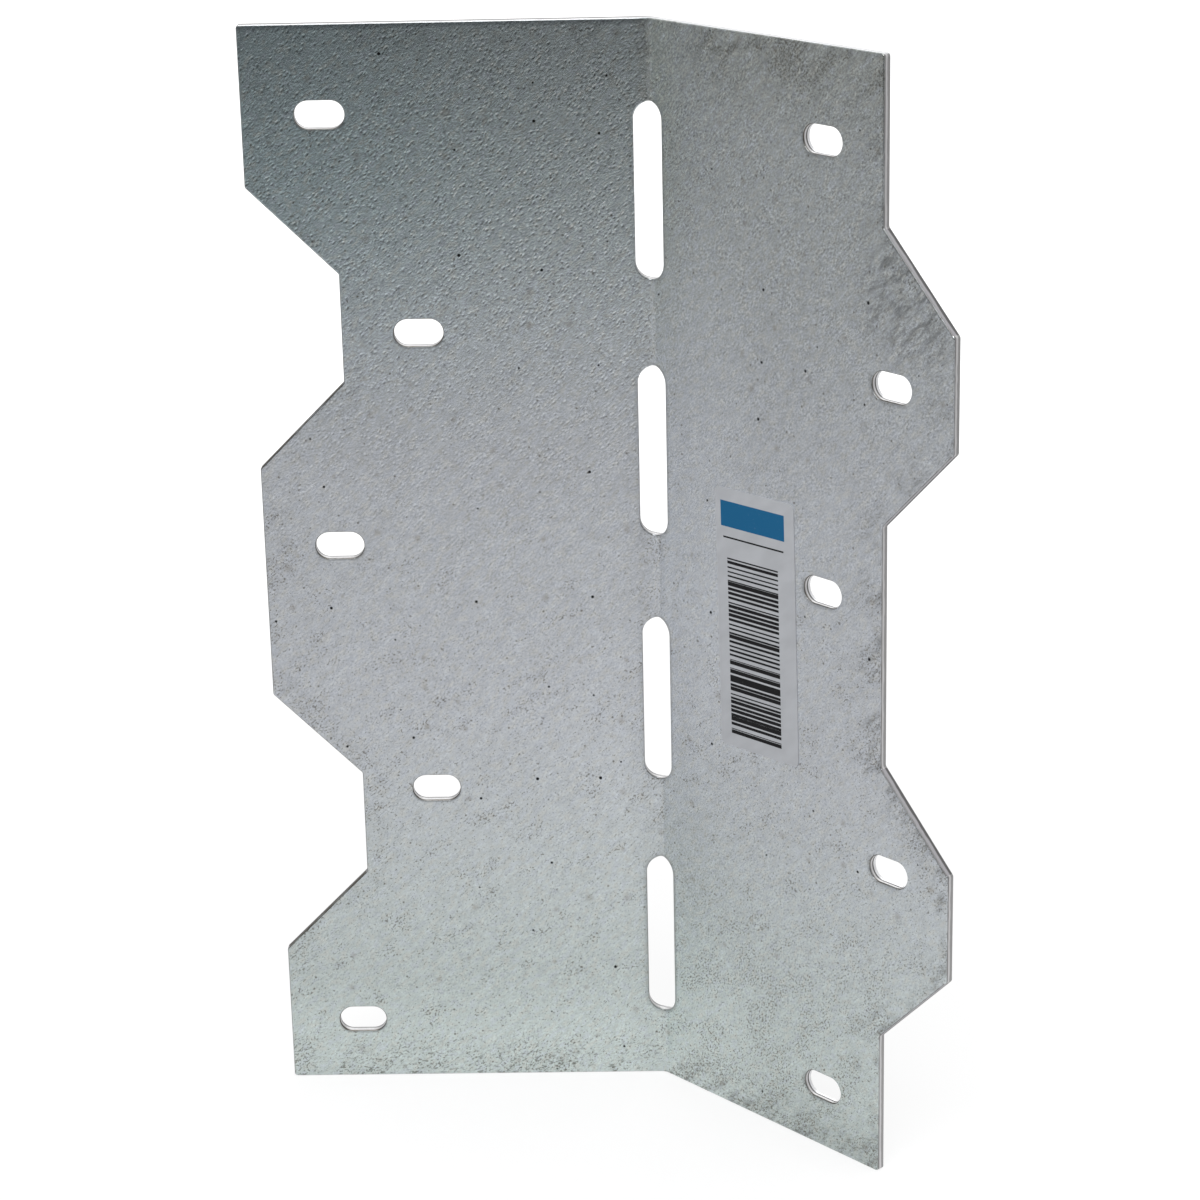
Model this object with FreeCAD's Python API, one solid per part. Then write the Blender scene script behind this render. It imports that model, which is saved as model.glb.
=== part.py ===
"""Skewable angle: a zinc-coated steel sheet, blanked with a zigzag down each side, perforated along its
fold, punched for nails and bent to an open V.

+Z runs up the fold. The left leg lies across X with its front face towards -Y, and the right leg turns
forwards out of that plane. The origin is under the middle of the part, on the plane of its lower end.
"""

import FreeCAD
import Part

import math
import os
from collections import Counter
from typing import NamedTuple

from FreeCAD import Vector

# Sheet and fold, in millimetres and degrees
LENGTH = 161.9          # along the fold
THICKNESS = 1.22        # 18 gauge steel with its zinc
BEND_ANGLE = 46.5       # how far the right leg is turned out of flat
BEND_RADIUS = 1.5       # on the inside of the fold

# Zigzag side edges, reaches measured from the sharp inner corner of the fold
WIDE_REACH = 57.15      # to the lands that stand out
ZIGZAG_DEPTH = 12.7     # between the lands that stand out and those set back
SLOPE_RUN = 12.7        # of each slope, along the fold
TOP_LAND = 22.9         # first land, at the upper end
BOTTOM_LAND = 21.5      # last land, at the lower end
SHORT_LAND = 15.9       # the two lands beside the end lands
CORNER_RADIUS = 0.5     # of the blank's corners

# Slots that weaken the fold so that it can be bent by hand
SLOT_LENGTH = 25.4
SLOT_WIDTH = 5.0        # in the flat blank
SLOT_BRIDGE = 12.7      # metal between two slots
SLOT_END_METAL = 8.0    # least metal between an end slot and the end of the fold
SLOT_DROP = 0.5         # how far the row of slots lies below the middle of the fold

# Nail holes, long across the fold
HOLE_LENGTH = 7.1
HOLE_WIDTH = 4.0
HOLE_TO_EDGE = 11.0     # hole's middle to the edge of its land
TOP_HOLE_DROP = 12.7    # first hole, below the upper end
BOTTOM_HOLE_RISE = 9.6  # last hole, above the lower end
UPPER_HOLE_DROP = 8.7   # on the upper short land, below the land's top
MIDDLE_HOLE_DROP = 11.8  # on the long land in the middle, below the land's top
LOWER_HOLE_DROP = 2.5   # on the lower short land, below the land's top

# What the press leaves on the front side of the cut edges
DIE_ROLL = 0.2          # rounding along the blank's outline and the fold slots
HOLE_FLARE = 0.12       # lead-in round the mouth of a nail hole

UP = Vector(0, 0, 1)
TOUCH = 1e-6            # two places nearer than this are the same
CROWN_SECTIONS = 5      # places across the fold that shape a slot's end
ROLL_SHARE = 0.8        # most of a corner's radius that the rounding may take up

turn = math.radians(BEND_ANGLE)
setback = BEND_RADIUS * math.tan(turn / 2)              # sharp corner to the end of the bend
bend_width = (BEND_RADIUS + THICKNESS / 2) * turn       # of the bent strip while it is flat
cut_margin = BEND_RADIUS / 2                            # how far a cutter stands out of the sheet
set_back_reach = WIDE_REACH - ZIGZAG_DEPTH


class Leg(NamedTuple):
    """One flat leg, with its directions and how far its lands reach from the fold."""

    across: Vector
    depth: Vector
    end_reach: float
    short_reach: float

    def at(self, across, height, depth=0.0):
        """The point that lies across from the fold, up from the lower end and in from the front face."""
        return self.across * across + UP * height + self.depth * depth


# The blank is as wide everywhere, so one leg stands out where the other is set back
LEFT = Leg(Vector(-1, 0, 0), Vector(0, 1, 0), WIDE_REACH, set_back_reach)
RIGHT = Leg(
    Vector(math.cos(turn), -math.sin(turn), 0),
    Vector(math.sin(turn), math.cos(turn), 0),
    set_back_reach,
    WIDE_REACH,
)
bend_centre = LEFT.at(setback, 0, -BEND_RADIUS)

# Heights where the side edges change direction
upper_short_top = LENGTH - TOP_LAND - SLOPE_RUN
upper_short_foot = upper_short_top - SHORT_LAND
lower_short_foot = BOTTOM_LAND + SLOPE_RUN
lower_short_top = lower_short_foot + SHORT_LAND
long_land_top = upper_short_foot - SLOPE_RUN
long_land_foot = lower_short_top + SLOPE_RUN


def plate(leg):
    """A leg's blank, from the end of the bend to its zigzag edge, with small round corners."""
    end, short = leg.end_reach, leg.short_reach
    outline = [
        (setback, LENGTH),
        (end, LENGTH),
        (end, LENGTH - TOP_LAND),
        (short, upper_short_top),
        (short, upper_short_foot),
        (end, long_land_top),
        (end, long_land_foot),
        (short, lower_short_top),
        (short, lower_short_foot),
        (end, BOTTOM_LAND),
        (end, 0),
        (setback, 0),
    ]
    points = [leg.at(*place) for place in outline]
    blank = Part.Face(Part.makePolygon(points + points[:1])).extrude(leg.depth * THICKNESS)
    corners = [
        edge
        for edge in blank.Edges
        if edge.tangentAt(edge.FirstParameter).cross(leg.depth).Length < TOUCH
        and edge.CenterOfMass.dot(leg.across) > setback + TOUCH
    ]
    return blank.makeFillet(CORNER_RADIUS, corners)


def obround(leg, across, height, size_across, size_up):
    """A cutter right through a leg: round-ended, centred on a place and long one way or the other."""
    radius = min(size_across, size_up) / 2
    half_across, half_up = size_across / 2 - radius, size_up / 2 - radius

    def on_face(offset_across, offset_up):
        return leg.at(across + offset_across, height + offset_up, -cut_margin)

    if half_across > half_up:
        starts = [(half_across, radius), (half_across + radius, 0), (half_across, -radius)]
    else:
        starts = [(-radius, half_up), (0, half_up + radius), (radius, half_up)]
    first = [on_face(a, u) for a, u in starts]
    second = [on_face(-a, -u) for a, u in starts]
    outline = Part.Wire([
        Part.Arc(*first).toShape(),
        Part.makeLine(first[2], second[0]),
        Part.Arc(*second).toShape(),
        Part.makeLine(second[2], first[0]),
    ])
    return Part.Face(outline).extrude(leg.depth * (THICKNESS + 2 * cut_margin))


def nail_holes(leg):
    """Cutters for one nail hole on each land of a leg."""
    lands = [
        (leg.end_reach, LENGTH - TOP_HOLE_DROP),
        (leg.short_reach, upper_short_top - UPPER_HOLE_DROP),
        (leg.end_reach, long_land_top - MIDDLE_HOLE_DROP),
        (leg.short_reach, lower_short_top - LOWER_HOLE_DROP),
        (leg.end_reach, BOTTOM_HOLE_RISE),
    ]
    return [obround(leg, reach - HOLE_TO_EDGE, height, HOLE_LENGTH, HOLE_WIDTH) for reach, height in lands]


def slot_heights():
    """Mid-heights of the fold slots: as many as the fold has room for, in a row set a little low on it."""
    pitch = SLOT_LENGTH + SLOT_BRIDGE
    count = int((LENGTH - 2 * SLOT_END_METAL - 2 * SLOT_DROP + SLOT_BRIDGE) // pitch)
    middle = LENGTH / 2 - SLOT_DROP
    return [middle + (index - (count - 1) / 2) * pitch for index in range(count)]


def slot_in_leg(leg, height):
    """The part of a fold slot that lies on a leg. The slot's middle line is half a bend in from the plate."""
    return obround(leg, setback - bend_width / 2, height, SLOT_WIDTH, SLOT_LENGTH)


def slot_in_bend(height):
    """The part of a fold slot that lies on the bend, with its round ends wrapped about the fold."""
    radius = SLOT_WIDTH / 2
    straight = SLOT_LENGTH / 2 - radius
    sections = []
    for index in range(CROWN_SECTIONS):
        share = index / (CROWN_SECTIONS - 1)
        half = straight + math.sqrt(radius**2 - ((share - 0.5) * bend_width) ** 2)
        corners = [
            LEFT.at(setback, height + up, depth)
            for up, depth in (
                (-half, -cut_margin),
                (-half, THICKNESS + cut_margin),
                (half, THICKNESS + cut_margin),
                (half, -cut_margin),
            )
        ]
        section = Part.makePolygon(corners + corners[:1])
        section.rotate(bend_centre, UP, -BEND_ANGLE * share)
        sections.append(section)
    return Part.makeLoft(sections, True)


def bend():
    """The bent strip between the two plates, cut by the fold slots."""
    corners = [
        LEFT.at(setback, height, depth)
        for height, depth in ((0, 0), (0, THICKNESS), (LENGTH, THICKNESS), (LENGTH, 0))
    ]
    strip = Part.Face(Part.makePolygon(corners + corners[:1])).revolve(bend_centre, UP, -BEND_ANGLE)
    return strip.cut([slot_in_bend(height) for height in slot_heights()])


def cut_leg(leg):
    """A leg's plate with its nail holes and its share of the fold slots."""
    slots = [slot_in_leg(leg, height) for height in slot_heights()]
    return plate(leg).cut(nail_holes(leg) + slots)


def front_faces(sheet):
    """The faces on the inner side of the V: every corner of theirs lies on a leg's front plane."""

    def on_front(point):
        return abs(max(point.dot(LEFT.depth), point.dot(RIGHT.depth))) < TOUCH

    return [face for face in sheet.Faces if all(on_front(corner.Point) for corner in face.Vertexes)]


def hole_mouths(sheet):
    """The front edges of the nail holes, which lie wholly inside a leg's front face."""
    return [
        edge
        for face in front_faces(sheet)
        for wire in face.Wires
        if not wire.isSame(face.OuterWire)
        for edge in wire.Edges
    ]


def outer_edges(sheet):
    """The front edges of the outline and the fold slots, which bound one front face each."""
    edges = [edge for face in front_faces(sheet) for edge in face.OuterWire.Edges]
    uses = Counter(edge.hashCode() for edge in edges)
    return [edge for edge in edges if uses[edge.hashCode()] == 1]


def skewable_angle():
    """The finished angle in its own frame."""
    sheet = cut_leg(LEFT).fuse([bend(), cut_leg(RIGHT)]).removeSplitter()
    flared = sheet.makeChamfer(min(HOLE_FLARE, THICKNESS / 2), hole_mouths(sheet))
    roll = min(DIE_ROLL, ROLL_SHARE * CORNER_RADIUS, THICKNESS / 2)
    solid = flared.makeFillet(roll, outer_edges(flared)).Solids[0]
    box = solid.optimalBoundingBox()
    solid.translate(Vector(-box.Center.x, -box.Center.y, -box.ZMin))
    return solid


os.makedirs("parts", exist_ok=True)
skewable_angle().exportStep("parts/angle.step")
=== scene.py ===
"""Looks of the skewable angle: zinc, label, floor, studio light and camera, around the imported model."""

import logging
import math
from dataclasses import dataclass
from enum import Enum
from typing import ClassVar, NamedTuple, Union

import bmesh
import bpy
from mathutils import Matrix, Vector


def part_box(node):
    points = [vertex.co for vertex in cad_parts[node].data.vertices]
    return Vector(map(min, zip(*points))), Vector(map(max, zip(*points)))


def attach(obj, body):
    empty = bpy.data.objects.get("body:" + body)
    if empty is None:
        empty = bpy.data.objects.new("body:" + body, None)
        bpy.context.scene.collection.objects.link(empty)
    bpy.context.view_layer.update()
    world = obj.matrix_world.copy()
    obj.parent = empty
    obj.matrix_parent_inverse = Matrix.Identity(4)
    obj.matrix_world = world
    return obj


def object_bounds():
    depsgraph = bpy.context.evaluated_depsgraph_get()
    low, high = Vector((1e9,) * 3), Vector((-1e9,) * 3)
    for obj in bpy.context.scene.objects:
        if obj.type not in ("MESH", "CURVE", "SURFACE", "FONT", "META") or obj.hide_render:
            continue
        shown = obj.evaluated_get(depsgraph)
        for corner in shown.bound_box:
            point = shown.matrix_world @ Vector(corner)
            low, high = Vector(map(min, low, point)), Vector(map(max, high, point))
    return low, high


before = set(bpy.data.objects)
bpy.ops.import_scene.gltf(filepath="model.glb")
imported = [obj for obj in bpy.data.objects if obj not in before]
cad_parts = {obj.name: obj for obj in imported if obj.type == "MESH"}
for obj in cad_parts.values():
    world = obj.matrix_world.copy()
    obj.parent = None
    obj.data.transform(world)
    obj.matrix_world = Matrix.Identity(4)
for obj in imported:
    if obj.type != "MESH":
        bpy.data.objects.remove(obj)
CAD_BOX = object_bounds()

MM = 0.001
BODY = "root"
SLANT = 44.0        # turn of the zinc's lay on the opened sheet, in degrees
MEAN_NOISE = 0.5    # about which cloudy noise swings
ORIGIN = Vector((0.0, 0.0, 0.0))
X_AXIS = Vector((1.0, 0.0, 0.0))
Y_AXIS = Vector((0.0, 1.0, 0.0))
Z_AXIS = Vector((0.0, 0.0, 1.0))

Socket = bpy.types.NodeSocket
Feed = Union[float, tuple, Vector, Socket]
Pair = tuple[float, float]
Triple = tuple[float, float, float]
Colour = tuple[float, float, float, float]

log = logging.getLogger("skewable_angle")


class Side(Enum):
    """The two legs, as seen from the inner side of the fold."""

    LEFT = "left"
    RIGHT = "right"


class Ray(Enum):
    """Kinds of ray that see the white of the studio."""

    CAMERA = "Is Camera Ray"
    GLOSSY = "Is Glossy Ray"
    TRANSMISSION = "Is Transmission Ray"


class Blend(Enum):
    """Ways to lay one colour over another."""

    COVER = "MIX"
    SHADE = "MULTIPLY"


class Step(NamedTuple):
    """A smooth step: where it begins and is complete, and the result before and after it."""

    start: float
    end: float
    low: float = 0.0
    high: float = 1.0


class Legs(NamedTuple):
    """A number that differs between the legs."""

    left: float
    right: float


class Cloud(NamedTuple):
    """Cloudy noise: size along and across its turn and through the sheet, finer layers, and turn."""

    size: Triple
    detail: float
    rough: float = 0.5
    turn: float = SLANT


class Spots(NamedTuple):
    """Scattered round dots: size of a cell, largest dot in cells, and the soft share of its radius."""

    cell: float
    radius: float
    softness: float


@dataclass(frozen=True)
class FoldedSheet:
    """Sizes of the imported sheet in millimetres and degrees, and where its legs lie."""

    length: float = 161.9
    thickness: float = 1.22
    bend_angle: float = 46.5
    bend_radius: float = 1.5
    wide_reach: float = 57.15
    zigzag_depth: float = 12.7
    slope_run: float = 12.7
    top_land: float = 22.9
    bottom_land: float = 21.5
    short_land: float = 15.9
    lowest_slot: float = 23.3
    slot_pitch: float = 38.1
    slot_length: float = 25.4
    slot_width: float = 5.0
    hole_heights: tuple[float, ...] = (9.6, 47.6, 85.9, 117.6, 149.2)
    hole_to_edge: float = 11.0
    hole_length: float = 7.1
    hole_width: float = 4.0

    @property
    def corner(self) -> Vector:
        """Sharp inner corner of the fold at the lower end, in millimetres."""
        low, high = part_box("angle")
        return Vector((low.x / MM + self.wide_reach, high.y / MM - self.thickness, low.z / MM))

    @property
    def setback(self) -> float:
        """From the sharp corner to the end of the bend."""
        return self.bend_radius * math.tan(math.radians(self.bend_angle) / 2)

    @property
    def bend_centre(self) -> Vector:
        """Centre of the bend's radius, from the sharp corner."""
        return self.across(Side.LEFT) * self.setback - self.inward(Side.LEFT) * self.bend_radius

    @property
    def slot_middle(self) -> float:
        """From the sharp corner to the slots' middle line, along a leg."""
        flat_bend = (self.bend_radius + self.thickness / 2) * math.radians(self.bend_angle)
        return self.setback - flat_bend / 2

    @property
    def set_back_reach(self) -> float:
        """From the fold to the lands that are set back."""
        return self.wide_reach - self.zigzag_depth

    def across(self, side: Side) -> Vector:
        """Direction from the fold to a leg's side edge.

        Args:
            side: The leg.

        Returns:
            A unit vector.
        """
        if side is Side.LEFT:
            return -X_AXIS
        turn = math.radians(self.bend_angle)
        return Vector((math.cos(turn), -math.sin(turn), 0.0))

    def inward(self, side: Side) -> Vector:
        """Direction through the sheet from a leg's front face.

        Args:
            side: The leg.

        Returns:
            A unit vector.
        """
        if side is Side.LEFT:
            return Y_AXIS.copy()
        turn = math.radians(self.bend_angle)
        return Vector((math.sin(turn), math.cos(turn), 0.0))

    def zigzag(self) -> list[Pair]:
        """The left leg's side edge.

        Returns:
            Heights as shares of the length, with 1 where the edge stands out and 0 where it is set back.
        """
        lower_foot = self.bottom_land + self.slope_run
        lower_top = lower_foot + self.short_land
        upper_top = self.length - self.top_land - self.slope_run
        upper_foot = upper_top - self.short_land
        places = [
            (0.0, 1.0),
            (self.bottom_land, 1.0),
            (lower_foot, 0.0),
            (lower_top, 0.0),
            (lower_top + self.slope_run, 1.0),
            (upper_foot - self.slope_run, 1.0),
            (upper_foot, 0.0),
            (upper_top, 0.0),
            (self.length - self.top_land, 1.0),
            (self.length, 1.0),
        ]
        return [(height / self.length, share) for height, share in places]

    def leg_frame(self, side: Side, across: float, height: float) -> Matrix:
        """Frame on a leg's front face, for a piece modelled flat with its front towards +Z.

        Args:
            side: The leg.
            across: Distance from the fold, in millimetres.
            height: Height above the lower end, in millimetres.

        Returns:
            The matrix from the flat piece to the shared frame, both in metres.
        """
        right = self.across(side) if side is Side.RIGHT else -self.across(side)
        place = (self.corner + self.across(side) * across + Z_AXIS * height) * MM
        turn = Matrix((right, Z_AXIS, -self.inward(side))).transposed().to_4x4()
        return Matrix.Translation(place) @ turn


class NodeBench:
    """Puts nodes into one shader tree and joins them."""

    JITTER = 0.9            # how far scattered dots stray from a regular grid
    SMALLEST_DOT = 0.5      # as a share of the largest

    def __init__(self, tree: bpy.types.NodeTree) -> None:
        """Empties the tree.

        Args:
            tree: The tree of a material or of the world.
        """
        tree.nodes.clear()
        self.tree = tree

    def add(self, kind: str, feeds: dict[Union[int, str], Feed], **settings: object) -> bpy.types.Node:
        """Adds one node.

        Args:
            kind: The node's type name.
            feeds: What goes into its sockets, by name or number.
            **settings: The node's own choices.

        Returns:
            The new node.
        """
        node = self.tree.nodes.new(kind)
        for name, choice in settings.items():
            setattr(node, name, choice)
        for name, feed in feeds.items():
            if isinstance(feed, bpy.types.NodeSocket):
                self.tree.links.new(feed, node.inputs[name])
            else:
                node.inputs[name].default_value = feed
        return node

    def math(self, operation: str, first: Feed, second: Feed = 0.0) -> Socket:
        """One sum on numbers, by its name."""
        return self.add("ShaderNodeMath", {0: first, 1: second}, operation=operation).outputs[0]

    def join(self, operation: str, *numbers: Feed) -> Socket:
        """One sum carried on through several numbers.

        Args:
            operation: The sum's name.
            *numbers: The numbers.

        Returns:
            The result.
        """
        result = numbers[0]
        for number in numbers[1:]:
            result = self.math(operation, result, number)
        return result

    def times(self, *factors: Feed) -> Socket:
        """Product of several numbers."""
        return self.join("MULTIPLY", *factors)

    def total(self, *terms: Feed) -> Socket:
        """Sum of several numbers."""
        return self.join("ADD", *terms)

    def most(self, *numbers: Feed) -> Socket:
        """Greatest of several numbers."""
        return self.join("MAXIMUM", *numbers)

    def less(self, number: Feed, taken: Feed) -> Socket:
        """What a number leaves when another is taken from it."""
        return self.math("SUBTRACT", number, taken)

    def rest(self, share: Feed) -> Socket:
        """What a share leaves of 1."""
        return self.less(1.0, share)

    def hypot(self, first: Feed, second: Feed) -> Socket:
        """Distance to a point that lies off by two numbers, at right angles."""
        return self.math("SQRT", self.total(self.times(first, first), self.times(second, second)))

    def vector(self, operation: str, first: Feed, second: Feed) -> Socket:
        """One sum on vectors that gives a vector, by its name."""
        return self.add("ShaderNodeVectorMath", {0: first, 1: second}, operation=operation).outputs["Vector"]

    def measure(self, operation: str, first: Feed, second: Feed = ORIGIN) -> Socket:
        """One sum on vectors that gives a number, by its name."""
        return self.add("ShaderNodeVectorMath", {0: first, 1: second}, operation=operation).outputs["Value"]

    def dot(self, first: Feed, second: Feed) -> Socket:
        """Dot product of two vectors."""
        return self.measure("DOT_PRODUCT", first, second)

    def ramp(self, value: Feed, start: Feed, end: Feed, low: Feed = 0.0, high: Feed = 1.0) -> Socket:
        """Smooth step from one number to another.

        Args:
            value: What is measured.
            start: Where the step begins. It may be above the end.
            end: Where the step is complete.
            low: Result before the step.
            high: Result after the step.

        Returns:
            The stepped number.
        """
        feeds = {"Value": value, "From Min": start, "From Max": end, "To Min": low, "To Max": high}
        return self.add("ShaderNodeMapRange", feeds, interpolation_type="SMOOTHSTEP").outputs["Result"]

    def graph(self, value: Feed, places: list[Pair]) -> Socket:
        """Reads a line of straight runs.

        Args:
            value: Where the line is read, from 0 to 1.
            places: The line's corners, in order from 0 to 1.

        Returns:
            How high the line is.
        """
        node = self.add("ShaderNodeFloatCurve", {"Value": value})
        line = node.mapping.curves[0]
        for place in places[1:-1]:
            line.points.new(*place)
        for point, place in zip(line.points, places):
            point.location = place
            point.handle_type = "VECTOR"
        node.mapping.update()
        return node.outputs[0]

    def inside(self, value: Feed, low: float, high: float) -> Socket:
        """1 where a number lies in a range and 0 where it lies outside."""
        return self.times(self.math("GREATER_THAN", value, low), self.math("LESS_THAN", value, high))

    def between(self, share: Feed, first: Feed, second: Feed) -> Socket:
        """A number between two others, from 0 for the first to 1 for the second."""
        return self.add("ShaderNodeMix", {0: share, 2: first, 3: second}, data_type="FLOAT").outputs[0]

    def paint(self, share: Feed, under: Feed, over: Feed, blend: Blend = Blend.COVER) -> Socket:
        """One colour over another.

        Args:
            share: How much of the upper colour shows.
            under: Lower colour.
            over: Upper colour.
            blend: How the upper colour acts.

        Returns:
            The painted colour.
        """
        feeds = {0: share, 6: under, 7: over}
        return self.add("ShaderNodeMix", feeds, data_type="RGBA", blend_type=blend.value).outputs[2]

    def grey(self, level: Feed) -> Socket:
        """A grey colour of one level."""
        return self.add("ShaderNodeCombineColor", {0: level, 1: level, 2: level}).outputs[0]

    def stretched(self, vector: Socket, turn: float, size: Triple) -> Socket:
        """Coordinates in which a pattern of unit size comes out turned and stretched.

        Args:
            vector: Coordinates in millimetres.
            turn: Turn of the pattern in the sheet, in degrees.
            size: The pattern's size along and across the turned direction and through the sheet.

        Returns:
            The new coordinates.
        """
        feeds = {"Vector": vector, "Rotation": (0.0, 0.0, math.radians(turn)), "Scale": size}
        return self.add("ShaderNodeMapping", feeds, vector_type="TEXTURE").outputs[0]

    def cloud(self, vector: Socket, pattern: Cloud) -> Socket:
        """Cloudy noise.

        Args:
            vector: Coordinates in millimetres.
            pattern: The noise.

        Returns:
            A number about 0.5.
        """
        place = self.stretched(vector, pattern.turn, pattern.size)
        feeds = {"Vector": place, "Scale": 1.0, "Detail": pattern.detail, "Roughness": pattern.rough}
        return self.add("ShaderNodeTexNoise", feeds).outputs[0]

    def dots(self, vector: Socket, share: Feed, pattern: Spots) -> Socket:
        """Scattered round dots on the sheet, at most one in each square cell.

        Args:
            vector: Coordinates in millimetres.
            share: Share of the cells that have a dot.
            pattern: The dots.

        Returns:
            1 in a dot and 0 outside.
        """
        feeds = {"Vector": vector, "Scale": 1.0 / pattern.cell, "Randomness": self.JITTER}
        cells = self.add("ShaderNodeTexVoronoi", feeds, voronoi_dimensions="2D")
        lot = self.add("ShaderNodeSeparateColor", {0: cells.outputs["Color"]})
        kept = self.math("LESS_THAN", lot.outputs[0], share)
        reach = self.between(lot.outputs[1], self.SMALLEST_DOT * pattern.radius, pattern.radius)
        edge = self.times(reach, 1.0 - pattern.softness)
        return self.times(kept, self.ramp(cells.outputs["Distance"], reach, edge))

    def rays(self, *kinds: Ray) -> Socket:
        """1 for rays of some kinds and 0 for others."""
        path = self.add("ShaderNodeLightPath", {})
        return self.most(*(path.outputs[kind.value] for kind in kinds))


@dataclass(frozen=True)
class Places:
    """Where a point lies on the folded sheet, in millimetres.

    Attributes:
        bench: The bench of the material that reads the places.
        flat: Across, up and through the sheet, as if the fold were opened flat.
        height: Above the lower end.
        depth: Below the front face.
        rim: In from the nearest outer edge.
        fold: Away from the fold, on either leg.
        right: 1 on the right leg and 0 on the left, with a soft change at the fold.
        side: 1 where the nearest outer edge is a side edge and 0 where it is an end.
        slope: 1 at the heights of the zigzag's slopes and 0 at those of its lands.
    """

    THROUGH: ClassVar[float] = 8.0              # how much faster patterns change through the sheet
    FOLD_CHANGE: ClassVar[Step] = Step(-2.0, 2.0)
    SLOPE_SHARES: ClassVar[Pair] = (0.02, 0.98)

    bench: NodeBench
    flat: Socket
    height: Socket
    depth: Socket
    rim: Socket
    fold: Socket
    right: Socket
    side: Socket
    slope: Socket

    @classmethod
    def read(cls, bench: NodeBench, sheet: FoldedSheet) -> "Places":
        """Reads the places from the object's coordinates.

        Args:
            bench: The material's bench.
            sheet: The folded sheet.

        Returns:
            The places.
        """
        coordinates = bench.add("ShaderNodeTexCoord", {}).outputs["Object"]
        place = bench.vector("MULTIPLY", coordinates, (1 / MM, 1 / MM, 1 / MM))
        place = bench.vector("SUBTRACT", place, sheet.corner)
        left_across, right_across = (bench.dot(place, sheet.across(side)) for side in Side)
        left_depth, right_depth = (bench.dot(place, sheet.inward(side)) for side in Side)
        on_right = bench.math("GREATER_THAN", right_depth, left_depth)
        fold = bench.between(on_right, left_across, right_across)
        height = bench.dot(place, Z_AXIS)

        outward = bench.vector("SUBTRACT", place, sheet.bend_centre)
        level = bench.vector("MULTIPLY", outward, X_AXIS + Y_AXIS)
        radius = bench.measure("LENGTH", level)
        in_bend = bench.math("LESS_THAN", fold, sheet.setback)
        leg_depth = bench.most(left_depth, right_depth)
        depth = bench.between(in_bend, leg_depth, bench.less(radius, sheet.bend_radius))

        out = bench.graph(bench.math("DIVIDE", height, sheet.length), sheet.zigzag())
        standing = bench.times(out, sheet.zigzag_depth)
        left_reach = bench.total(standing, sheet.set_back_reach)
        right_reach = bench.less(sheet.wide_reach, standing)
        side_rim = bench.less(bench.between(on_right, left_reach, right_reach), fold)
        end_rim = bench.math("MINIMUM", height, bench.less(sheet.length, height))

        opened = bench.between(on_right, bench.times(left_across, -1.0), right_across)
        through = bench.times(leg_depth, cls.THROUGH)
        return cls(
            bench=bench,
            flat=bench.add("ShaderNodeCombineXYZ", {0: opened, 1: height, 2: through}).outputs[0],
            height=height,
            depth=depth,
            rim=bench.math("MINIMUM", side_rim, end_rim),
            fold=fold,
            right=bench.ramp(bench.less(right_depth, left_depth), *cls.FOLD_CHANGE),
            side=bench.math("LESS_THAN", side_rim, end_rim),
            slope=bench.inside(out, *cls.SLOPE_SHARES),
        )

    @property
    def left(self) -> Socket:
        """1 on the left leg and 0 on the right, with a soft change at the fold."""
        return self.bench.rest(self.right)

    def leg(self, legs: Legs) -> Socket:
        """A number that differs between the legs."""
        return self.bench.between(self.right, *legs)

    def up(self, step: Step) -> Socket:
        """A step on the height."""
        return self.bench.ramp(self.height, *step)

    def out(self, step: Step) -> Socket:
        """A step on the distance from the fold."""
        return self.bench.ramp(self.fold, *step)

    def cloud(self, pattern: Cloud) -> Socket:
        """Cloudy noise on the opened sheet."""
        return self.bench.cloud(self.flat, pattern)


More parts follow.
